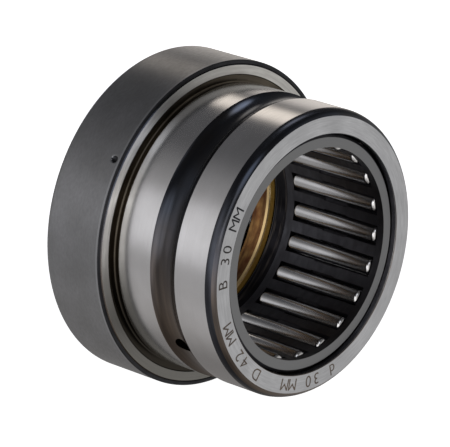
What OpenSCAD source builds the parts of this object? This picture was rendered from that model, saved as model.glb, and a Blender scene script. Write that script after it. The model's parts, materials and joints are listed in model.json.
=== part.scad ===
// Combined needle roller and thrust ball bearing with a sheet cover, in millimetres.
// The axis runs along Y: the needle end faces -Y and the thrust end +Y. The origin is
// the middle of the bearing. Outlines are drawn as [radius, distance from the front face].

/* [Main sizes] */

// Shaft diameter: the circle inside the needles, and the bore of the shaft washer
shaft_d = 30; // [29.8:0.1:30.2]
// Outside diameter of the seat that goes into the housing
housing_d = 42; // [41.8:0.1:42.6]
// Width over both ends
width = 30; // [29.8:0.1:31]
// Outside diameter of the sheet cover
cover_d = 48.2; // [47.8:0.1:50]
// Distance from the front face to the collar that stops against the housing
collar_front = 19; // [18.8:0.1:19.3]
// Thickness of the collar, whose rear side is the fixed ball race
collar_t = 3.3; // [3:0.1:3.5]
// Diameter of the collar
collar_d = 47; // [46.8:0.1:47]

/* [Outer ring details] */

// Radial width of the front rounding
front_round_radial = 0.9; // [0.5:0.1:1.2]
// Axial length of the front rounding
front_round_axial = 1.6; // [1.3:0.1:2]
// Middle of the lubrication groove, from the front face
groove_at = 9.54; // [8:0.02:11]
// Width of the lubrication groove at the seat surface
groove_w = 4.7; // [3:0.1:5]
// Depth of the lubrication groove
groove_depth = 0.8; // [0.4:0.1:1.2]
// Diameter of the lubrication hole
oil_hole_d = 2.6; // [1:0.1:3]
// Angle of the lubrication hole about the axis, from +X towards +Z
oil_hole_angle = -146; // [-180:1:180]
// Length of the grinding relief in front of the collar
relief_w = 0.94; // [0.6:0.02:1.2]
// Depth of the grinding relief
relief_depth = 0.28; // [0.1:0.02:0.4]
// Part of the relief's length taken by its front slope
relief_slope = 0.2; // [0.1:0.05:0.6]
// Depth of the unground ring inside the collar's ground face
collar_recess = 0.12; // [0.04:0.02:0.2]
// Radius where the collar's ground face begins
collar_face_r = 22.04; // [21.6:0.02:22.4]
// Radius of the hole through the collar
collar_bore_r = 16; // [15.6:0.1:16.2]
// Front side of the inner shoulder that stops the needle cage
shoulder_at = 19.5; // [19.4:0.05:20]

/* [Cover] */

// Thickness of the sheet
sheet_t = 0.6; // [0.3:0.05:0.6]
// Front edge of the cover, from the front face of the bearing
cover_front = 19.06; // [19:0.02:19.5]
// How far the cover's rear side lies inside the shaft washer's rear face
cover_set_back = 0.4; // [0.3:0.1:0.6]
// Outside bend radius of the rear corner
cover_bend_r = 0.8; // [0.65:0.05:1.5]
// Radius of the hole in the cover's rear side
cover_lip_r = 20.9; // [20.8:0.1:21.6]
// Number of punch marks that hold the cover on the collar
stake_count = 3; // [1:1:8]
// Angle of the first punch mark about the axis, from +X towards +Z
stake_angle = 143.4; // [-180:0.1:180]
// Middle of the punch marks, from the front face of the bearing
stake_at = 20.3; // [20:0.1:21]
// Depth of a punch mark
stake_depth = 0.3; // [0.1:0.05:0.3]
// Radius of the punch
stake_r = 0.8; // [0.4:0.1:1]

/* [Needle set] */

// Number of needles
needle_count = 21; // [12:1:22]
// Needle diameter
needle_d = 2.5; // [2.3:0.1:2.6]
// Needle length
needle_len = 15.8; // [14:0.1:15.9]
// Radius of the needle's rounded edges
needle_edge_r = 0.6; // [0.1:0.1:0.8]
// Angle of the first needle about the axis, from +X towards +Z
needle_angle = -6.2; // [-180:0.1:180]
// Middle of the needles, from the front face
needle_at = 9.88; // [9.8:0.02:10]
// Front end of the needle cage, from the front face
needle_cage_front = 0.62; // [0.3:0.02:1]
// Length of the needle cage
needle_cage_len = 18.68; // [18.2:0.02:18.76]
// Gap between the shaft and the needle cage
needle_cage_gap = 0.45; // [0.3:0.05:0.6]
// Radial thickness of the needle cage
needle_cage_t = 1.42; // [1.2:0.02:1.5]
// Play between the cage's guiding rims and the raceway
needle_rim_play = 0.2; // [0.1:0.05:0.4]
// Length of the slope in front of the cage's rims
needle_rim_slope = 0.43; // [0.2:0.05:0.5]
// Play between a needle and the side of its pocket
pocket_side_play = 0.07; // [0.05:0.01:0.15]
// Play between a needle and the end of its pocket
pocket_end_play = 0.16; // [0.1:0.02:0.3]
// Pocket width at the cage's inner surface
pocket_mouth_w = 3; // [2.8:0.05:3.1]
// Pocket width at the inner surface halfway along, where the bars are relieved
relieved_mouth_w = 3.3; // [3.2:0.05:3.4]
// Length of the relieved stretch
relieved_len = 4.4; // [2:0.1:8]
// How deep the pocket's flared sides go
mouth_depth = 0.45; // [0.2:0.05:0.6]

/* [Thrust set] */

// Number of balls
ball_count = 18; // [10:1:18]
// Ball diameter: 15/64 inch
ball_d = 5.953; // [5.6:0.001:6]
// Radius of the circle through the ball centres
ball_circle_r = 19.4; // [19.3:0.05:19.5]
// Angle of the first ball about the axis, from +X towards +Z
ball_angle = 0; // [-180:1:180]
// Play between a ball and its races
race_play = 0.07; // [0.05:0.01:0.15]
// Play between a ball and its cage pocket
ball_pocket_play = 0.1; // [0.06:0.01:0.15]
// Axial distance between the two race faces
race_gap = 4.5; // [4.3:0.1:4.8]
// Axial thickness of the ball cage
ball_cage_t = 4; // [3.4:0.1:4]
// Inner radius of the ball cage
ball_cage_inner_r = 15.95; // [15.8:0.05:16]
// Outer radius of the ball cage
ball_cage_outer_r = 22.85; // [22.7:0.05:23]
// Chamfer of the ball cage
ball_cage_chamfer = 0.35; // [0.1:0.05:0.5]
// Axial length of the slope inside the ball cage's front edge
ball_cage_slope_len = 0.85; // [0.3:0.05:1.2]
// Radial height of that slope
ball_cage_slope_h = 0.25; // [0.1:0.05:0.25]

/* [Shaft washer] */

// Radius of the washer inside the cover
washer_outer_r = 23.2; // [23:0.05:23.3]
// Radius of the washer's step, which shows inside the cover's lip
washer_step_r = 20.6; // [20.2:0.1:20.6]
// Gap between the washer's shoulder and the cover's rear side
washer_lip_gap = 0.2; // [0.1:0.05:0.4]
// Chamfer of the washer's bore at the rear face
washer_bore_chamfer = 0.5; // [0.2:0.1:0.7]
// Chamfer of the washer's other edges
washer_edge_chamfer = 0.25; // [0.1:0.05:0.4]

/* [Hidden] */

$fn = 180;

edge_break = 0.1;
collar_chamfer = 0.16;
collar_bore_chamfer = 0.25;
over = 1;

shaft_r = shaft_d / 2;
housing_r = housing_d / 2;
collar_r = collar_d / 2;
cover_r = max(cover_d / 2, collar_r + sheet_t);
cover_inner_r = cover_r - sheet_t;
raceway_r = shaft_r + needle_d;
needle_circle_r = shaft_r + needle_d / 2;
needle_cage_inner_r = shaft_r + needle_cage_gap;
needle_cage_outer_r = needle_cage_inner_r + needle_cage_t;

collar_rear = collar_front + collar_t;
washer_front = collar_rear + race_gap;
ball_at = collar_rear + race_gap / 2;
cover_rear = width - cover_set_back;
washer_shoulder = cover_rear - sheet_t - washer_lip_gap;
race_r = ball_d / 2 + race_play;

// The front rounding's arc is tangent to the seat and meets the front face at an angle.
front_round_r = (front_round_axial ^ 2 + front_round_radial ^ 2) / (2 * front_round_radial);
// The groove's floor is an arc through both edges and the deepest point.
groove_r = ((groove_w / 2) ^ 2 + groove_depth ^ 2) / (2 * groove_depth);

steel_colour = [0.66, 0.66, 0.68];
bright_colour = [0.8, 0.8, 0.81];
sheet_colour = [0.36, 0.36, 0.37];
cage_colour = [0.2, 0.2, 0.21];
brass_colour = [0.6, 0.48, 0.25];

function numbered(base, i) = str(base, i < 10 ? "_0" : "_", i);

// Turns an outline of [radius, distance from the front face] about the bearing's axis.
module revolve() {
    rotate([-90, 0, 0]) rotate_extrude() translate([0, -width / 2]) children();
}

// Puts its children at an angle about the axis, and at a distance from the front face.
module place(angle, radius, distance) {
    rotate([0, -angle, 0]) translate([radius, distance - width / 2, 0]) children();
}

// A round along the axis, for rollers and the like, centred on the origin.
module along_axis() {
    rotate([-90, 0, 0]) rotate_extrude() children();
}

// What the front rounding takes off the square corner of the seat.
module front_corner_waste() {
    difference() {
        translate([housing_r - front_round_radial, -over])
            square([front_round_radial + over, front_round_axial + over]);
        translate([housing_r - front_round_r, front_round_axial]) circle(r = front_round_r);
    }
}

module outer_ring_outline() {
    relief_start = collar_front - relief_w;
    polygon([
        [raceway_r + edge_break, 0],
        [housing_r, 0],
        [housing_r, relief_start],
        [housing_r - relief_depth, relief_start + relief_slope * relief_w],
        [housing_r - relief_depth, collar_front + collar_recess],
        [collar_face_r - collar_recess, collar_front + collar_recess],
        [collar_face_r, collar_front],
        [collar_r - collar_chamfer, collar_front],
        [collar_r, collar_front + collar_chamfer],
        [collar_r, collar_rear - collar_chamfer],
        [collar_r - collar_chamfer, collar_rear],
        [collar_bore_r + collar_bore_chamfer, collar_rear],
        [collar_bore_r, collar_rear - collar_bore_chamfer],
        [collar_bore_r, shoulder_at + edge_break],
        [collar_bore_r + edge_break, shoulder_at],
        [raceway_r, shoulder_at],
        [raceway_r, edge_break],
    ]);
}

module outer_ring() {
    color(steel_colour) difference() {
        revolve() difference() {
            outer_ring_outline();
            front_corner_waste();
            translate([housing_r - groove_depth + groove_r, groove_at]) circle(r = groove_r);
            translate([ball_circle_r, ball_at]) circle(r = race_r);
        }
        place(oil_hole_angle, raceway_r - over, groove_at)
            rotate([0, 90, 0]) cylinder(d = oil_hole_d, h = housing_r - raceway_r + 2 * over, $fn = 48);
    }
}

// The sheet's wall, its bent rear corner and its rear side.
module cover_outline() {
    bend_r = cover_r - cover_bend_r;
    bend_at = cover_rear - cover_bend_r;
    translate([cover_inner_r, cover_front]) square([sheet_t, bend_at - cover_front]);
    translate([cover_lip_r, cover_rear - sheet_t]) square([bend_r - cover_lip_r, sheet_t]);
    intersection() {
        translate([bend_r, bend_at]) difference() {
            circle(r = cover_bend_r);
            circle(r = cover_bend_r - sheet_t);
        }
        translate([bend_r, bend_at]) square(cover_bend_r);
    }
}

module cover() {
    color(sheet_colour) difference() {
        revolve() cover_outline();
        for (i = [0 : stake_count - 1])
            place(stake_angle + i * 360 / stake_count, cover_r + stake_r - stake_depth, stake_at)
                sphere(r = stake_r, $fn = 32);
    }
}

module shaft_washer() {
    color(bright_colour) revolve() difference() {
        polygon([
            [shaft_r + washer_edge_chamfer, washer_front],
            [washer_outer_r - washer_edge_chamfer, washer_front],
            [washer_outer_r, washer_front + washer_edge_chamfer],
            [washer_outer_r, washer_shoulder],
            [washer_step_r, washer_shoulder],
            [washer_step_r, width - washer_edge_chamfer],
            [washer_step_r - washer_edge_chamfer, width],
            [shaft_r + washer_bore_chamfer, width],
            [shaft_r, width - washer_bore_chamfer],
            [shaft_r, washer_front + washer_edge_chamfer],
        ]);
        translate([ball_circle_r, ball_at]) circle(r = race_r);
    }
}

// One needle's pocket: parallel sides that guide the needle, and a flared inner mouth.
module needle_pocket(angle) {
    half_w = needle_d / 2 + pocket_side_play;
    pocket_len = needle_len + 2 * pocket_end_play;
    guide_r = needle_cage_inner_r + mouth_depth;
    place(angle, 0, needle_at) rotate([-90, 0, 0]) {
        translate([needle_cage_inner_r - over, -half_w, -pocket_len / 2])
            cube([needle_cage_t + 2 * over, 2 * half_w, pocket_len]);
        for (mouth = [[pocket_mouth_w, pocket_len], [relieved_mouth_w, relieved_len]])
            linear_extrude(height = mouth[1], center = true) polygon([
                [needle_cage_inner_r - over, -mouth[0] / 2],
                [needle_cage_inner_r, -mouth[0] / 2],
                [guide_r, -half_w],
                [guide_r, half_w],
                [needle_cage_inner_r, mouth[0] / 2],
                [needle_cage_inner_r - over, mouth[0] / 2],
            ]);
    }
}

module needle_cage() {
    rear = needle_cage_front + needle_cage_len;
    rim_r = raceway_r - needle_rim_play;
    pocket_end = needle_len / 2 + pocket_end_play + edge_break;
    color(cage_colour) difference() {
        revolve() polygon([
            [needle_cage_inner_r, needle_cage_front],
            [needle_cage_outer_r, needle_cage_front],
            [rim_r, needle_cage_front + needle_rim_slope],
            [rim_r, needle_at - pocket_end],
            [needle_cage_outer_r, needle_at - pocket_end],
            [needle_cage_outer_r, needle_at + pocket_end],
            [rim_r, needle_at + pocket_end],
            [rim_r, rear - edge_break],
            [rim_r - edge_break, rear],
            [needle_cage_inner_r, rear],
        ]);
        for (i = [0 : needle_count - 1]) needle_pocket(needle_angle + i * 360 / needle_count);
    }
}

module needle_roller(i) {
    r = needle_d / 2;
    color(bright_colour)
        place(needle_angle + (i - 1) * 360 / needle_count, needle_circle_r, needle_at) along_axis() {
            translate([0, -needle_len / 2]) square([r - needle_edge_r, needle_len]);
            translate([0, -needle_len / 2 + needle_edge_r]) square([r, needle_len - 2 * needle_edge_r]);
            for (end = [-1, 1]) intersection() {
                translate([r - needle_edge_r, end * (needle_len / 2 - needle_edge_r)])
                    circle(r = needle_edge_r, $fn = 48);
                translate([0, -needle_len / 2]) square([r, needle_len]);
            }
        }
}

module thrust_cage() {
    front = ball_at - ball_cage_t / 2;
    rear = ball_at + ball_cage_t / 2;
    color(brass_colour) difference() {
        revolve() polygon([
            [ball_cage_inner_r, front + ball_cage_slope_len],
            [ball_cage_inner_r + ball_cage_slope_h, front],
            [ball_cage_outer_r - ball_cage_chamfer, front],
            [ball_cage_outer_r, front + ball_cage_chamfer],
            [ball_cage_outer_r, rear - ball_cage_chamfer],
            [ball_cage_outer_r - ball_cage_chamfer, rear],
            [ball_cage_inner_r + ball_cage_chamfer, rear],
            [ball_cage_inner_r, rear - ball_cage_chamfer],
        ]);
        for (i = [0 : ball_count - 1])
            place(ball_angle + i * 360 / ball_count, ball_circle_r, ball_at) rotate([90, 0, 0])
                cylinder(d = ball_d + 2 * ball_pocket_play, h = ball_cage_t + 2 * over, center = true, $fn = 64);
    }
}

module thrust_ball(i) {
    color(bright_colour)
        place(ball_angle + (i - 1) * 360 / ball_count, ball_circle_r, ball_at)
            sphere(d = ball_d, $fn = 64);
}

outer_ring();
cover();
shaft_washer();
needle_cage();
thrust_cage();
for (i = [1 : needle_count])
    needle_roller(i);
for (i = [1 : ball_count])
    thrust_ball(i);
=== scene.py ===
import bmesh
import bpy
import json
import math
from mathutils import Matrix, Vector

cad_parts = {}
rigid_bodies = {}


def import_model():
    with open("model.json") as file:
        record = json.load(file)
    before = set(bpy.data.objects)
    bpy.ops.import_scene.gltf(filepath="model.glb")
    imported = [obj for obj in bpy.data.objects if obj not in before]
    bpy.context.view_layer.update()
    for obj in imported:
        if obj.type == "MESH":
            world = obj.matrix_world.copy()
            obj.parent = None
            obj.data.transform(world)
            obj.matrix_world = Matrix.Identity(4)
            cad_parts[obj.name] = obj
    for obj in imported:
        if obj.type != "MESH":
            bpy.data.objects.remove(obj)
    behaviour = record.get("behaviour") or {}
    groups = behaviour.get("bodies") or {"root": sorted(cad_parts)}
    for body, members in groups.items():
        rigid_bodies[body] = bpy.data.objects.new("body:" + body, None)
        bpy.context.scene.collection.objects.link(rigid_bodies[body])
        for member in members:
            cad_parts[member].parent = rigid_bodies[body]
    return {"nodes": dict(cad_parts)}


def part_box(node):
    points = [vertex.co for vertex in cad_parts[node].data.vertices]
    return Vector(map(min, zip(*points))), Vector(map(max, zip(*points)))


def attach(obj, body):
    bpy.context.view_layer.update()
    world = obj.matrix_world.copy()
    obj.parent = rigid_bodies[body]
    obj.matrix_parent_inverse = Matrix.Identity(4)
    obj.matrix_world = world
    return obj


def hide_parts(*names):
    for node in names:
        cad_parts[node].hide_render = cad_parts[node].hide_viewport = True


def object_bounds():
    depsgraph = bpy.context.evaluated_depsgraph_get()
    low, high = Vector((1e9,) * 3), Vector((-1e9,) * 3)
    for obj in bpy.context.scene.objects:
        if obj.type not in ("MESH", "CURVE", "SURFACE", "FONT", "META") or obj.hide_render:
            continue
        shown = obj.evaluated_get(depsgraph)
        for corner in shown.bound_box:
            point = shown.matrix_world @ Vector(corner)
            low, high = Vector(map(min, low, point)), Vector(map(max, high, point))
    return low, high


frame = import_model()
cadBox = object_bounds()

mm = 0.001
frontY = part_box("outer_ring")[0][1]  # plane of the ground front face
floorZ = cadBox[0][2]
ringBody = "outer_ring_set"


# camera, with the front face towards it on the right

cameraSet = {
    "place": (-357.712, -334.393, 178.544),  # mm
    "forward": (0.68452, 0.64442, -0.34081),
    "lens": 291.2,
    "sensor": 36.0,
}
cameraData = bpy.data.cameras.new("camera")
cameraData.lens = cameraSet["lens"]
cameraData.sensor_width = cameraSet["sensor"]
cameraData.clip_start = 0.01
cameraData.clip_end = 10
camera = bpy.data.objects.new("camera", cameraData)
camera.location = Vector(cameraSet["place"]) * mm
camera.rotation_euler = Vector(cameraSet["forward"]).to_track_quat("-Z", "Y").to_euler()
bpy.context.scene.collection.objects.link(camera)
bpy.context.scene.camera = camera
print("camera placed")


# helpers for the materials' nodes

def linear(hexColour):
    # sRGB hex to linear RGBA
    values = [int(hexColour[i:i + 2], 16) / 255 for i in (1, 3, 5)]
    return [v / 12.92 if v <= 0.04045 else ((v + 0.055) / 1.055) ** 2.4 for v in values] + [1.0]


def addNode(tree, kind, inputs=None, **settings):
    node = tree.nodes.new(kind)
    for key, value in settings.items():
        setattr(node, key, value)
    for key, value in (inputs or {}).items():
        if isinstance(value, bpy.types.NodeSocket):
            tree.links.new(value, node.inputs[key])
        else:
            node.inputs[key].default_value = value
    return node


def newMaterial(name):
    material = bpy.data.materials.new(name)
    material.use_nodes = True
    tree = material.node_tree
    return material, tree, tree.nodes["Principled BSDF"]


def turnedCoords(tree, slow, fast):
    # lines that run round the axis: quick along the axis and the radius, slow otherwise
    place = addNode(tree, "ShaderNodeTexCoord").outputs["Object"]
    xyz = addNode(tree, "ShaderNodeSeparateXYZ", {0: place}).outputs
    flat = addNode(tree, "ShaderNodeCombineXYZ", {0: xyz[0], 2: xyz[2]}).outputs[0]
    radius = addNode(tree, "ShaderNodeVectorMath", {0: flat}, operation="LENGTH").outputs["Value"]
    across = addNode(tree, "ShaderNodeMath", {0: xyz[1], 1: radius}, operation="ADD").outputs[0]
    parts = []
    for socket, scale in ((xyz[0], slow), (across, fast), (xyz[2], slow)):
        scaled = addNode(tree, "ShaderNodeMath", {0: socket, 1: scale / mm}, operation="MULTIPLY")
        parts.append(scaled.outputs[0])
    return addNode(tree, "ShaderNodeCombineXYZ", {0: parts[0], 1: parts[1], 2: parts[2]}).outputs[0]


def noise(tree, vector, scale, detail=2.0, roughness=0.5):
    found = addNode(tree, "ShaderNodeTexNoise", {"Vector": vector, "Scale": scale, "Detail": detail,
                                                 "Roughness": roughness})
    return found.outputs["Fac"]


def spread(tree, value, low, high, fromLow=0.3, fromHigh=0.7):
    mapped = addNode(tree, "ShaderNodeMapRange", {"Value": value, "From Min": fromLow, "From Max": fromHigh,
                                                  "To Min": low, "To Max": high})
    return mapped.outputs["Result"]


def blend(tree, factor, first, second):
    mixed = addNode(tree, "ShaderNodeMix", {"Factor": factor}, data_type="RGBA")
    colourSockets = [s for s in mixed.inputs if s.type == "RGBA"]
    for socket, value in zip(colourSockets, (first, second)):
        if isinstance(value, bpy.types.NodeSocket):
            tree.links.new(value, socket)
        else:
            socket.default_value = linear(value)
    return [s for s in mixed.outputs if s.type == "RGBA"][0]


def bump(tree, shader, height, depth):
    lifted = addNode(tree, "ShaderNodeBump", {"Height": height, "Distance": depth * mm, "Strength": 1.0})
    tree.links.new(lifted.outputs["Normal"], shader.inputs["Normal"])


# finishes, each made from how its surface was worked, a few with painted light and shade in bands and
# gradients

def turnedSteel(name, settings):
    # steel turned or ground on its axis: fine rings stretch the light along the axis
    material, tree, shader = newMaterial(name)
    shader.inputs["Metallic"].default_value = 1.0
    fine = noise(tree, turnedCoords(tree, settings["along"], settings["lines"]), 1.0, 3.0, 0.6)
    object3d = addNode(tree, "ShaderNodeTexCoord").outputs["Object"]
    cloud = noise(tree, object3d, 1 / (settings["cloud"] * mm), 3.0)
    colour = blend(tree, spread(tree, cloud, 0, 1), settings["light"], settings["dark"])
    if "below" in settings:  # the colour blends into another one down the ring's height: painted shade on the collar and the relief, darker towards the bottom; the oxide only turns browner and lighter towards the bottom
        height = addNode(tree, "ShaderNodeSeparateXYZ", {0: object3d}).outputs[2]
        colour = blend(tree, spread(tree, height, 0, 1, 9 * mm, -9 * mm), colour, settings["below"])
    lines = spread(tree, fine, 0.0, settings["lineShade"], *settings.get("lineRange", (0.3, 0.7)))
    shaded = blend(tree, lines, colour, settings["line"])
    tree.links.new(shaded, shader.inputs["Base Color"])
    rough = addNode(tree, "ShaderNodeMath", {0: spread(tree, fine, -0.5, 0.5), 1: settings["roughSpread"],
                                             2: settings["rough"]}, operation="MULTIPLY_ADD")
    tree.links.new(rough.outputs[0], shader.inputs["Roughness"])
    bump(tree, shader, fine, settings["depth"])
    return material


def polishedSteel(name, settings):
    # lapped rolling surfaces: no rings, only a soft stain
    material, tree, shader = newMaterial(name)
    shader.inputs["Metallic"].default_value = 1.0
    place = addNode(tree, "ShaderNodeTexCoord").outputs["Object"]
    stain = noise(tree, place, 1 / (settings["cloud"] * mm), 3.0, 0.6)
    haze = noise(tree, place, 1 / (settings["haze"] * mm), 2.0)
    tree.links.new(blend(tree, spread(tree, stain, 0, 1), settings["light"], settings["dark"]),
                   shader.inputs["Base Color"])
    rough = addNode(tree, "ShaderNodeMath", {0: spread(tree, haze, -0.5, 0.5), 1: settings["roughSpread"],
                                             2: settings["rough"]}, operation="MULTIPLY_ADD")
    tree.links.new(rough.outputs[0], shader.inputs["Roughness"])
    return material


def machinedOrHighlightBand(material, distance, hexColour, rough):
    # a band in front of a plane across the axis gets its own colour and gloss: the needle cage's machined
    # bare end face, and on the brass cage and the cover painted highlight bands
    tree = material.node_tree
    shader = tree.nodes["Principled BSDF"]
    place = addNode(tree, "ShaderNodeTexCoord").outputs["Object"]
    y = addNode(tree, "ShaderNodeSeparateXYZ", {0: place}).outputs[1]
    inBand = addNode(tree, "ShaderNodeMath", {0: y, 1: frontY + (distance + 0.03) * mm}, operation="LESS_THAN")
    before = shader.inputs["Base Color"].links[0].from_socket
    tree.links.new(blend(tree, inBand.outputs[0], before, hexColour), shader.inputs["Base Color"])
    roughBefore = shader.inputs["Roughness"].links[0].from_socket
    mixed = addNode(tree, "ShaderNodeMix", {"Factor": inBand.outputs[0]}, data_type="FLOAT")
    tree.links.new(roughBefore, mixed.inputs[2])
    mixed.inputs[3].default_value = rough
    tree.links.new(mixed.outputs[0], shader.inputs["Roughness"])


steel = {
    # ground bearing steel: light grey with fine rings round the axis
    "seat": {"light": "#dcdbdc", "dark": "#d0cfcf", "line": "#b8b6b4",
             "lineShade": 0.15, "along": 0.1, "lines": 7.0,
             "cloud": 6.0, "rough": 0.2, "roughSpread": 0.03, "depth": 0.0003},
    "face": {"light": "#d3d3d4", "dark": "#bfbfc0", "line": "#a0a0a1",
             "lineShade": 0.5, "along": 0.4, "lines": 5.0,
             "cloud": 4.0, "rough": 0.34, "roughSpread": 0.12, "depth": 0.002},
    # hardened and not ground: the furnace leaves a thin blue-black glossy oxide
    "oxide": {"light": "#4a505b", "dark": "#403e3d", "line": "#2c2d33",
              "lineShade": 0.5, "along": 0.08, "lines": 1.5,
              "cloud": 7.0, "rough": 0.17, "roughSpread": 0.08, "depth": 0.002, "below": "#75685c"},
    # the fixed washer's bore: oxide with a wavy drawn skin
    "bore": {"light": "#201f22", "dark": "#141315", "line": "#6a625b",
             "lineShade": 0.6, "along": 0.12, "lines": 1.6,
             "lineRange": (0.54, 0.78), "cloud": 2.0, "rough": 0.13, "roughSpread": 0.08, "depth": 0.012},
    # the relief's lower part is blended darker: painted shade, its top lighter as a painted reflection of
    # the seat
    "relief": {"light": "#655d51", "dark": "#4b443a", "line": "#3a342c",
               "lineShade": 0.4, "along": 0.1, "lines": 2.0,
               "cloud": 4.0, "rough": 0.3, "roughSpread": 0.08, "depth": 0.002, "below": "#332f29"},
    # the collar's front side stops against the housing
    # the collar's lower part is blended darker: painted shade
    "collar": {"light": "#dcdad4", "dark": "#cdcac4", "line": "#8b8882",
               "lineShade": 0.4, "along": 0.2, "lines": 3.0,
               "cloud": 3.0, "rough": 0.34, "roughSpread": 0.1, "depth": 0.002, "below": "#777570"},
    "tumbled": {"light": "#4d4f55", "dark": "#3d3d42", "line": "#2d2d30",
                "lineShade": 0.4, "along": 0.1, "lines": 2.0,
                "cloud": 5.0, "rough": 0.25, "roughSpread": 0.1, "depth": 0.002},
    "washer": {"light": "#d5d5d6", "dark": "#c6c6c7", "line": "#aeaeb0",
               "lineShade": 0.4, "along": 0.2, "lines": 3.0,
               "cloud": 5.0, "rough": 0.26, "roughSpread": 0.1, "depth": 0.001},
    # polished rolling surfaces
    "needle": {"light": "#cacacb", "dark": "#bbbbbc", "cloud": 4.0,
               "haze": 2.5, "rough": 0.22, "roughSpread": 0.02},
    "needleEnd": {"light": "#d8d6d4", "dark": "#c8c5c2", "cloud": 2.5,
                  "haze": 0.8, "rough": 0.08, "roughSpread": 0.02},
    "ball": {"light": "#e4e4e4", "dark": "#dadada", "cloud": 3.0,
             "haze": 1.5, "rough": 0.08, "roughSpread": 0.03},
    # machined brass, lightly oiled
    "brass": {"light": "#a8824f", "dark": "#6b3f28", "line": "#3c241d",
              "lineShade": 0.9, "along": 0.2, "lines": 1.1,
              "cloud": 2.0, "rough": 0.3, "roughSpread": 0.12, "depth": 0.003},
    # blackened steel sheet, satin
    "cage": {"light": "#4a4a4e", "dark": "#3c3b3f", "line": "#2e2e31",
             "lineShade": 0.4, "along": 0.5, "lines": 1.5,
             "cloud": 3.0, "rough": 0.38, "roughSpread": 0.12, "depth": 0.003},
    "cover": {"light": "#7e7e80", "dark": "#707071", "line": "#5d5d5d",
              "lineShade": 0.35, "along": 1.5, "lines": 3.0,
              "cloud": 5.0, "rough": 0.37, "roughSpread": 0.12, "depth": 0.003},
}
seatSteel = turnedSteel("ground steel seat", steel["seat"])
faceSteel = turnedSteel("ground steel face", steel["face"])
oxideSteel = turnedSteel("furnace oxide on steel", steel["oxide"])
tumbledSteel = turnedSteel("tumbled steel edge", steel["tumbled"])
boreSteel = turnedSteel("drawn oxide bore", steel["bore"])
collarSteel = turnedSteel("ground steel collar", steel["collar"])
reliefSteel = turnedSteel("tempered steel relief", steel["relief"])
washerSteel = turnedSteel("ground steel washer", steel["washer"])
needleSteel = polishedSteel("lapped needle steel", steel["needle"])
needleEndSteel = polishedSteel("tumbled needle end", steel["needleEnd"])
ballSteel = polishedSteel("lapped ball steel", steel["ball"])
cageBrass = turnedSteel("machined brass", steel["brass"])
cageSteel = turnedSteel("blackened cage steel", steel["cage"])
machinedOrHighlightBand(cageSteel, 0.62, "#858585", 0.5)
# painted light on the brass cage: a pale gold painted highlight line just behind the front slope, and the
# slope itself painted lighter olive as if lit
machinedOrHighlightBand(cageBrass, 23.82, "#e0c28c", 0.16)
machinedOrHighlightBand(cageBrass, 23.12, "#a8843f", 0.28)
coverSheet = turnedSteel("phosphated sheet steel", steel["cover"])
markInk = turnedSteel("electro-etched mark",
                      dict(steel["oxide"], light="#3a3a3c", dark="#303032", rough=0.45))
# a dark sheet colour that paints shade: on the cover's front edge for the gap to the collar, on its inside
# and in its punched dents
shadeOnSheet = turnedSteel("sheet painted with shade",
                      dict(steel["bore"], light="#38383a", dark="#2c2c2e", line="#222222", rough=0.32))
# painted highlight: a lighter band along the cover's rounded front edge
machinedOrHighlightBand(coverSheet, 19.5, "#878789", 0.4)
coverGloss = {"Metallic": 0.75, "Coat Weight": 0.6, "Coat Roughness": 0.25}  # a thin phosphate and oil skin
for socket, value in coverGloss.items():
    coverSheet.node_tree.nodes["Principled BSDF"].inputs[socket].default_value = value
print("materials made")


# helpers for turned shapes, in mm from the front face

def arc(centre, radius, start, end, steps):
    # points on a circle in the outline's plane, degrees from the radial direction
    points = []
    for k in range(steps + 1):
        angle = math.radians(start + (end - start) * k / steps)
        points.append((centre[0] + radius * math.cos(angle), centre[1] + radius * math.sin(angle), 0))
    return points


def filleted(points, steps=4):
    # points are (radius, distance from the front face, fillet radius), all mm
    rounded = []
    for i, (radius, distance, fillet) in enumerate(points):
        here = Vector((radius, distance))
        if not fillet:
            rounded.append(here)
            continue
        back = (Vector(points[i - 1][:2]) - here).normalized()
        ahead = (Vector(points[(i + 1) % len(points)][:2]) - here).normalized()
        half = back.angle(ahead) / 2
        centre = here + (back + ahead).normalized() * (fillet / math.sin(half))
        start = here + back * (fillet / math.tan(half)) - centre
        end = here + ahead * (fillet / math.tan(half)) - centre
        rounded += [centre + start.slerp(end, k / steps).normalized() * fillet for k in range(steps + 1)]
    return held(rounded)


def held(points, hold=0.05):
    # a point close to both ends of each straight stretch keeps its shading flat
    out = []
    for i, here in enumerate(points):
        gap = here - points[i - 1]
        if gap.length > 4 * hold:
            out += [points[i - 1] + gap.normalized() * hold, here - gap.normalized() * hold]
        out.append(here)
    return out


def turned(outline, segments=288):
    shape = bmesh.new()
    verts = [shape.verts.new((p.x * mm, frontY + p.y * mm, 0)) for p in outline]
    edges = [shape.edges.new((verts[i - 1], verts[i])) for i in range(len(verts))]
    bmesh.ops.spin(shape, geom=verts + edges, cent=(0, 0, 0), axis=(0, 1, 0), angle=2 * math.pi,
                   steps=segments, use_merge=True)
    bmesh.ops.remove_doubles(shape, verts=shape.verts, dist=1e-7)
    bmesh.ops.recalc_face_normals(shape, faces=shape.faces)
    return shape


def addPiece(name, shape, materials, body, nodes):
    mesh = bpy.data.meshes.new(name)
    shape.to_mesh(mesh)
    shape.free()
    piece = bpy.data.objects.new(name, mesh)
    bpy.context.scene.collection.objects.link(piece)
    for material in materials:
        mesh.materials.append(material)
    mesh.shade_smooth()
    mesh.set_sharp_from_angle(angle=math.radians(28))
    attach(piece, body)
    if nodes:
        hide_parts(*nodes)
    return piece


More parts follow.
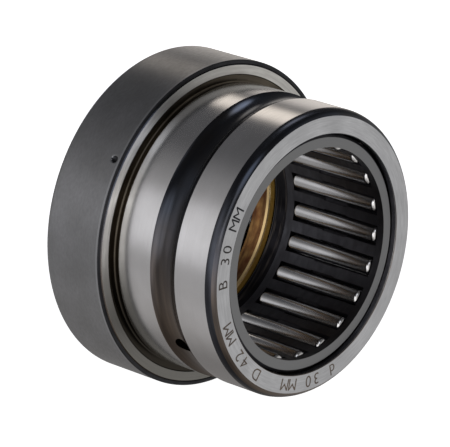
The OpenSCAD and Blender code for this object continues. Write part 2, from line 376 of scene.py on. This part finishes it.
def cut(piece, cutter):
    # takes the cutter's shape out of a finished piece
    mesh = bpy.data.meshes.new("cutter")
    cutter.to_mesh(mesh)
    cutter.free()
    tool = bpy.data.objects.new("cutter", mesh)
    bpy.context.scene.collection.objects.link(tool)
    change = piece.modifiers.new("cut", "BOOLEAN")
    change.operation, change.object, change.solver = "DIFFERENCE", tool, "EXACT"
    bpy.context.view_layer.objects.active = piece
    bpy.ops.object.modifier_apply(modifier="cut")
    bpy.data.objects.remove(tool)


def paint(piece, rule):
    # gives each face the material whose number the rule returns for its radius and distance
    for face in piece.data.polygons:
        middle = face.center
        radius, distance = math.hypot(middle.x, middle.z) / mm, (middle.y - frontY) / mm
        face.material_index = rule(radius, distance)


def turnTo(angle, radius, distance):
    return Matrix.Rotation(-math.radians(angle), 4, "Y") @ Matrix.Translation(
        (radius * mm, frontY + distance * mm, 0))


# outer ring with its collar

ring = {
    "seatR": 21.0, "raceR": 17.5, "roundRadial": 0.9, "roundAxial": 1.6,
    "grooveAt": 9.54, "grooveW": 4.7, "grooveDepth": 0.8,
    "reliefStart": 18.06, "reliefDepth": 0.28, "recess": 0.12, "faceR": 22.04,
    "collarFront": 19.0, "collarRear": 22.3, "collarR": 23.5, "boreR": 16.0, "shoulder": 19.5,
    "ballR": 3.0465, "ballCircle": 19.4, "ballAt": 24.55,
    "holeD": 2.6, "holeAngle": -146.0,
}


def raceArc(side, steps=14):
    # the ball race in a washer face, side -1 for the fixed race and 1 for the turning one
    reach = abs((ring["collarRear"] if side < 0 else shaftWasher["front"]) - ring["ballAt"])
    half = math.degrees(math.asin(reach / ring["ballR"]))
    ends = (-half, half - 180) if side < 0 else (180 - half, half)
    return arc((ring["ballCircle"], ring["ballAt"]), ring["ballR"], ends[0], ends[1], steps)


def buildOuterRing():
    s = ring
    roundR = (s["roundAxial"] ** 2 + s["roundRadial"] ** 2) / (2 * s["roundRadial"])
    grooveR = ((s["grooveW"] / 2) ** 2 + s["grooveDepth"] ** 2) / (2 * s["grooveDepth"])
    roundStart = -math.degrees(math.asin(s["roundAxial"] / roundR))
    grooveHalf = math.degrees(math.asin(s["grooveW"] / 2 / grooveR))
    front, rear, seat = s["collarFront"], s["collarRear"], s["seatR"]
    outline = [(s["raceR"], 0, 0.1)]
    outline += arc((seat - roundR, s["roundAxial"]), roundR, roundStart, 0, 12)
    outline += arc((seat - s["grooveDepth"] + grooveR, s["grooveAt"]), grooveR, 180 + grooveHalf,
                   180 - grooveHalf, 24)
    outline += [
        (seat, s["reliefStart"], 0.05),
        (seat - s["reliefDepth"], s["reliefStart"] + 0.19, 0.08),
        (seat - s["reliefDepth"], front + s["recess"], 0.3),
        (s["faceR"] - s["recess"], front + s["recess"], 0.05),
        (s["faceR"], front, 0.03),
        (s["collarR"] - 0.16, front, 0.04),
        (s["collarR"], front + 0.16, 0.04),
        (s["collarR"], rear - 0.16, 0.04),
        (s["collarR"] - 0.16, rear, 0.04),
    ]
    outline += raceArc(-1)
    outline += [(s["boreR"], rear, 0.25), (s["boreR"], s["shoulder"], 0.15), (s["raceR"], s["shoulder"], 0)]
    finishes = [seatSteel, faceSteel, oxideSteel, tumbledSteel, boreSteel, collarSteel, reliefSteel]
    shape = turned(filleted(outline))
    piece = addPiece("outerRing", shape, finishes, ringBody, ["outer_ring"])
    hole = bmesh.new()
    bmesh.ops.create_cone(hole, cap_ends=True, segments=48, radius1=s["holeD"] / 2 * mm,
                          radius2=s["holeD"] / 2 * mm, depth=8 * mm)
    bmesh.ops.transform(hole, verts=hole.verts, matrix=turnTo(s["holeAngle"], 19.5, s["grooveAt"])
                        @ Matrix.Rotation(math.pi / 2, 4, "Y"))
    cut(piece, hole)

    onSeat, onFace, onOxide, onTumbled, onBore, onCollar, onRelief = range(len(finishes))

    def rule(radius, distance):
        if distance < 0.001:
            return onFace
        if abs(distance - front) < 0.01 and radius > s["faceR"]:
            return onCollar
        if seat - 0.4 < radius < s["faceR"] and s["reliefStart"] < distance < front + 0.3:
            return onRelief
        if radius > seat - 0.005 and distance < s["reliefStart"]:
            return onSeat
        if distance < s["roundAxial"] and radius > 20:
            return onTumbled if distance > 0.55 else onOxide
        if radius < s["raceR"] + 0.01 and distance < s["shoulder"] and radius > 17.4:
            return onSeat
        if radius < s["boreR"] + 0.3 and distance > s["shoulder"] + 0.1:
            return onTumbled if distance > rear - 0.26 else onBore
        return onOxide

    paint(piece, rule)
    return piece


# the washer that turns with the shaft

shaftWasher = {"boreR": 15.0, "front": 26.8, "rear": 30.0, "outerR": 23.2, "stepR": 20.6, "shoulder": 28.8}


def buildShaftWasher():
    s = shaftWasher
    outline = [(s["boreR"], s["rear"], 0.45), (s["boreR"], s["front"], 0.25)]
    outline += raceArc(1)
    outline += [
        (s["outerR"], s["front"], 0.25),
        (s["outerR"], s["shoulder"], 0.1),
        (s["stepR"], s["shoulder"], 0.05),
        (s["stepR"], s["rear"], 0.25),
    ]
    return addPiece("shaftWasher", turned(filleted(outline)), [washerSteel], "shaft_washer",
                    ["shaft_washer"])


# sheet cover, held by punch marks

cover = {
    "outerR": 24.1, "sheet": 0.6, "front": 19.06, "rear": 29.6, "bend": 0.8, "lipR": 20.9,
    "stakes": 3, "stakeAngle": 143.4, "stakeAt": 20.3, "stakeR": 0.8, "stakeDepth": 0.3,
}


def buildCover():
    s = cover
    innerR, innerRear = s["outerR"] - s["sheet"], s["rear"] - s["sheet"]
    outline = [
        (innerR, s["front"], 0.1),
        (s["outerR"], s["front"], 0.18),
        (s["outerR"], s["stakeAt"] - s["stakeR"], 0),
        (s["outerR"], s["stakeAt"] + s["stakeR"], 0),
        (s["outerR"], s["rear"], s["bend"]),
        (s["lipR"], s["rear"], 0.15),
        (s["lipR"], innerRear, 0.1),
        (innerR, innerRear, 0.2),
    ]
    shape = turned(filleted(outline, 8))
    wallR = (s["outerR"] - 0.05) * mm
    for k in range(s["stakes"]):
        punch = turnTo(s["stakeAngle"] + k * 360 / s["stakes"], s["outerR"] + s["stakeR"] - s["stakeDepth"],
                       s["stakeAt"]).translation
        near = []
        for face in shape.faces:
            middle = face.calc_center_median()
            if (middle - punch).length < 1.6 * s["stakeR"] * mm and math.hypot(middle.x, middle.z) > wallR:
                near.append(face)
        edges = list({e for f in near for e in f.edges})
        bmesh.ops.subdivide_edges(shape, edges=edges, cuts=7, use_grid_fill=True)
        for vert in shape.verts:  # the punch pushes the sheet out of its way
            away = vert.co - punch
            if away.length < s["stakeR"] * mm and math.hypot(vert.co.x, vert.co.z) > wallR:
                vert.co = punch + away.normalized() * s["stakeR"] * mm
    bmesh.ops.recalc_face_normals(shape, faces=shape.faces)
    piece = addPiece("sheetCover", shape, [coverSheet, shadeOnSheet], ringBody, ["cover"])

    def rule(radius, distance):
        # the front edge and the inside take the dark colour: painted shade of the gap to the collar and of
        # the cover's inside
        if distance < s["front"] + 0.15 or radius < innerR + 0.01 and distance < innerRear + 0.01:
            return 1
        return 1 if radius < s["outerR"] - 0.08 and distance < innerRear - 1 else 0  # the punched dents, painted dark as shade in the recess

    paint(piece, rule)
    return piece


# needle rollers

needle = {"count": 21, "r": 1.248, "length": 15.8, "edge": 0.6, "circleR": 16.25, "at": 9.88, "angle": -6.2}


def buildNeedle(i):
    s = needle
    half, flat = s["length"] / 2, s["length"] / 2 - s["edge"]
    outline = [(0, -half, 0)]
    outline += arc((s["r"] - s["edge"], -flat), s["edge"], -90, 0, 6)
    outline += arc((s["r"] - s["edge"], flat), s["edge"], 0, 90, 6)
    outline += [(0, half, 0)]
    shape = bmesh.new()
    verts = [shape.verts.new((p[0] * mm, p[1] * mm, 0)) for p in outline]
    edges = [shape.edges.new((a, b)) for a, b in zip(verts, verts[1:])]
    bmesh.ops.spin(shape, geom=verts + edges, cent=(0, 0, 0), axis=(0, 1, 0), angle=2 * math.pi, steps=40,
                   use_merge=True)
    bmesh.ops.remove_doubles(shape, verts=shape.verts, dist=1e-7)
    bmesh.ops.recalc_face_normals(shape, faces=shape.faces)
    bmesh.ops.transform(shape, verts=shape.verts,
                        matrix=turnTo(s["angle"] + (i - 1) * 360 / s["count"], s["circleR"], s["at"]))
    node = f"needle_roller_{i:02d}"
    piece = addPiece(f"needle.{i:02d}", shape, [needleSteel, needleEndSteel], node, [node])
    paint(piece, lambda radius, distance: 0 if abs(distance - s["at"]) < flat else 1)
    return piece


# size marks on the front face

marks = {"text": "d 30 MM   D 42 MM   B 30 MM", "start": -78.0, "step": 5.2, "baseR": 17.98, "size": 2.5,
         "halfThick": 0.02, "proud": 0.004}


def buildMarks():
    # etched size numbers, read clockwise with their tops outwards
    s = marks
    whole = bmesh.new()
    for k, letter in enumerate(s["text"]):
        if letter == " ":
            continue
        curve = bpy.data.curves.new("letter", "FONT")
        curve.body = letter
        curve.align_x = "CENTER"
        curve.size = s["size"]
        curve.extrude = s["halfThick"]
        curve.resolution_u = 4
        holder = bpy.data.objects.new("letter", curve)
        bpy.context.scene.collection.objects.link(holder)
        graph = bpy.context.evaluated_depsgraph_get()
        mesh = bpy.data.meshes.new_from_object(holder.evaluated_get(graph))
        angle = math.radians(s["start"] - k * s["step"])
        outward = Vector((math.cos(angle), 0, math.sin(angle)))
        onward = Vector((math.sin(angle), 0, -math.cos(angle)))
        place = Matrix((onward, outward, Vector((0, -1, 0)))).transposed().to_4x4()
        place.translation = outward * s["baseR"]
        lift = Matrix.Translation((0, frontY + (s["halfThick"] - s["proud"]) * mm, 0))
        mesh.transform(lift @ Matrix.Scale(mm, 4) @ place)
        whole.from_mesh(mesh)
        bpy.data.objects.remove(holder)
    bmesh.ops.remove_doubles(whole, verts=whole.verts, dist=1e-8)
    bmesh.ops.recalc_face_normals(whole, faces=whole.faces)
    return addPiece("sizeMarks", whole, [markInk], ringBody, [])


buildOuterRing()
buildMarks()
buildShaftWasher()
buildCover()
for i in range(1, needle["count"] + 1):
    buildNeedle(i)
print("turned pieces made")


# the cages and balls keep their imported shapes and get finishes

def dress(nodeName, material):
    shown = frame["nodes"][nodeName]
    for owner in [shown] + list(shown.children):
        if owner.type == "MESH":
            owner.data.materials.clear()
            owner.data.materials.append(material)


dress("needle_cage", cageSteel)
dress("thrust_cage", cageBrass)
for name in frame["nodes"]:
    if name.startswith("thrust_ball"):
        dress(name, ballSteel)
print("cages and balls dressed")


# floor and light

def buildFloor():
    shape = bmesh.new()
    bmesh.ops.create_grid(shape, x_segments=1, y_segments=1, size=6)
    bmesh.ops.translate(shape, verts=shape.verts, vec=(0, 0, floorZ))
    mesh = bpy.data.meshes.new("floor")
    shape.to_mesh(mesh)
    shape.free()
    floor = bpy.data.objects.new("floor", mesh)
    bpy.context.scene.collection.objects.link(floor)
    material, tree, shader = newMaterial("white paper floor")
    shader.inputs["Base Color"].default_value = linear("#f4f4f4")
    shader.inputs["Roughness"].default_value = 0.9
    shader.inputs["Specular IOR Level"].default_value = 0.0
    shader.inputs["Emission Color"].default_value = (1, 1, 1, 1)
    shader.inputs["Emission Strength"].default_value = 0.92
    mesh.materials.append(material)
    floor.visible_glossy = False  # the metal mirrors the studio, not the paper
    return floor


def direction(azimuth, along):
    # unit vector at an angle about the bearing's axis, with its part along the axis
    across = math.sqrt(1 - along * along)
    return (across * math.cos(math.radians(azimuth)), along, across * math.sin(math.radians(azimuth)))


softBoxes = [
    # azimuth about the axis, part along it, core and edge in degrees, strength, colour
    {"at": (166, 0.64), "core": 4, "edge": 24, "strength": 0.4, "colour": "#fbfbff"},
    {"at": (188, 0.6), "core": 10, "edge": 70, "strength": 0.34, "colour": "#fbf9f8"},
    {"at": (166, -0.1), "core": 5, "edge": 30, "strength": 1.1, "colour": "#f4f8ff"},
    {"at": (44, 0.64), "core": 3, "edge": 10, "strength": 1.15, "colour": "#fff4e6"},
    {"at": (60, 0.1), "core": 5, "edge": 13, "strength": 2.4, "colour": "#eef4ff"},
    {"at": (2, 0.64), "core": 6, "edge": 20, "strength": 0.62, "colour": "#fff6ec"},
    {"at": (-26, -0.64), "core": 20, "edge": 70, "strength": 0.465, "colour": "#ffffff"},
    {"at": (290, 0.3), "core": 30, "edge": 80, "strength": 0.12, "colour": "#fff6ec"},
    {"at": (182, -0.62), "core": 10, "edge": 36, "strength": 0.85, "colour": "#fbfbff"},
    {"at": (158, -0.74), "core": 3, "edge": 11, "strength": 1.6, "colour": "#ffffff"},
    {"at": (136, -0.74), "core": 3, "edge": 11, "strength": 1.2, "colour": "#ffffff"},
    {"at": (110, -0.68), "core": 5, "edge": 20, "strength": 1.25, "colour": "#eef3ff"},
    # keep the ends readable from the other sides
    {"at": (215, -0.64), "core": 10, "edge": 45, "strength": 0.5, "colour": "#ffffff"},
    {"at": (-90, -0.98), "core": 15, "edge": 45, "strength": 0.3, "colour": "#ffffff"},
]


def buildStudio():
    world = bpy.data.worlds.new("studio")
    bpy.context.scene.world = world
    world.use_nodes = True
    tree = world.node_tree
    tree.nodes.clear()
    look = addNode(tree, "ShaderNodeTexCoord").outputs["Generated"]
    total = linear("#5a5a5c")
    for box in softBoxes:
        facing = addNode(tree, "ShaderNodeVectorMath", {0: look, 1: direction(*box["at"])},
                         operation="DOT_PRODUCT")
        glow = addNode(tree, "ShaderNodeMapRange", {
            "Value": facing.outputs["Value"], "From Min": math.cos(math.radians(box["edge"])),
            "From Max": math.cos(math.radians(box["core"])), "To Min": 0.0, "To Max": box["strength"],
        }, interpolation_type="SMOOTHSTEP").outputs["Result"]
        tinted = addNode(tree, "ShaderNodeVectorMath", {0: linear(box["colour"])[:3], "Scale": glow},
                         operation="SCALE").outputs["Vector"]
        total = addNode(tree, "ShaderNodeVectorMath", {
            0: total if isinstance(total, bpy.types.NodeSocket) else total[:3], 1: tinted},
            operation="ADD").outputs["Vector"]
    studio = addNode(tree, "ShaderNodeBackground", {"Color": total, "Strength": 1.0}).outputs[0]
    plain = addNode(tree, "ShaderNodeBackground", {"Color": (1, 1, 1, 1), "Strength": 1.0}).outputs[0]
    seen = addNode(tree, "ShaderNodeLightPath").outputs["Is Camera Ray"]
    mixed = addNode(tree, "ShaderNodeMixShader", {0: seen, 1: studio, 2: plain}).outputs[0]
    addNode(tree, "ShaderNodeOutputWorld", {"Surface": mixed})


buildFloor()
buildStudio()
bpy.context.scene.view_settings.view_transform = "Standard"
print("studio lit")
